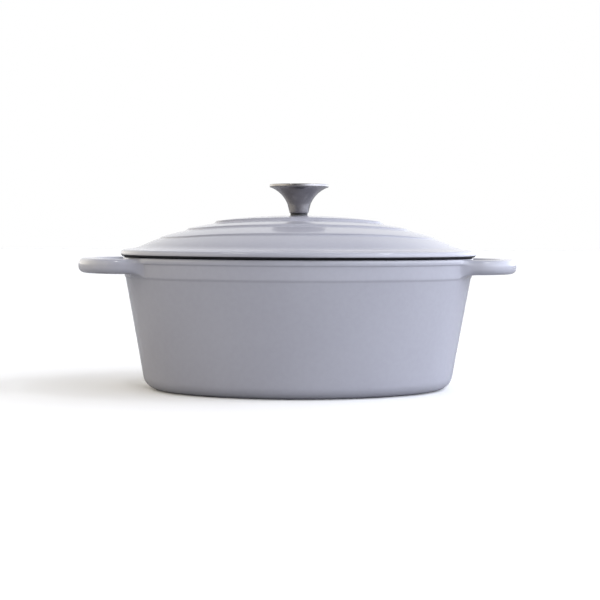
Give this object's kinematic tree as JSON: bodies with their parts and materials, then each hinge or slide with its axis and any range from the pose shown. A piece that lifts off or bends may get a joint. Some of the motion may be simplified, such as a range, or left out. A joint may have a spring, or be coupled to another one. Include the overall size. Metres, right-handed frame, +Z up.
{
  "type": "dutch oven",
  "caption": "Oval enamelled cast iron pot with two loop handles and a stepped, domed lid that lifts off by a flared steel knob.",
  "frame": {"origin": "centre of the pot's base, on the surface it stands on", "axes": "+X from the left handle to the right handle, +Y from front to back, +Z up"},
  "size_m": [0.3584, 0.2264, 0.1667],
  "materials": {
    "bare_iron": "matte black",
    "outer_enamel": "glossy lavender grey",
    "base_enamel": "dark semi-matte ground coat",
    "inner_enamel": "glossy cream",
    "knob_steel": "fine turned",
    "bush_brass": "machined",
    "gasket_rubber": "matte",
    "screw_steel": "bright"
  },
  "bodies": {
    "pot": {"pot_casting": "bare_iron", "pot_outer_enamel": "outer_enamel", "pot_base_enamel": "base_enamel", "pot_inner_enamel": "inner_enamel"},
    "lid": {"lid_casting": "bare_iron", "lid_outer_enamel": "outer_enamel", "lid_inner_enamel": "inner_enamel", "knob_body": "knob_steel", "knob_cap": "knob_steel", "knob_bush": "bush_brass", "knob_gasket": "gasket_rubber", "knob_screw": "screw_steel", "screw_flat_washer": "screw_steel", "screw_lock_washer": "screw_steel"}
  },
  "joints": [
    {"name": "lid_lift", "type": "slide", "parent": "pot", "child": "lid", "axis": [0, 0, 1], "range_m": [0, 0.15]}
  ]
}
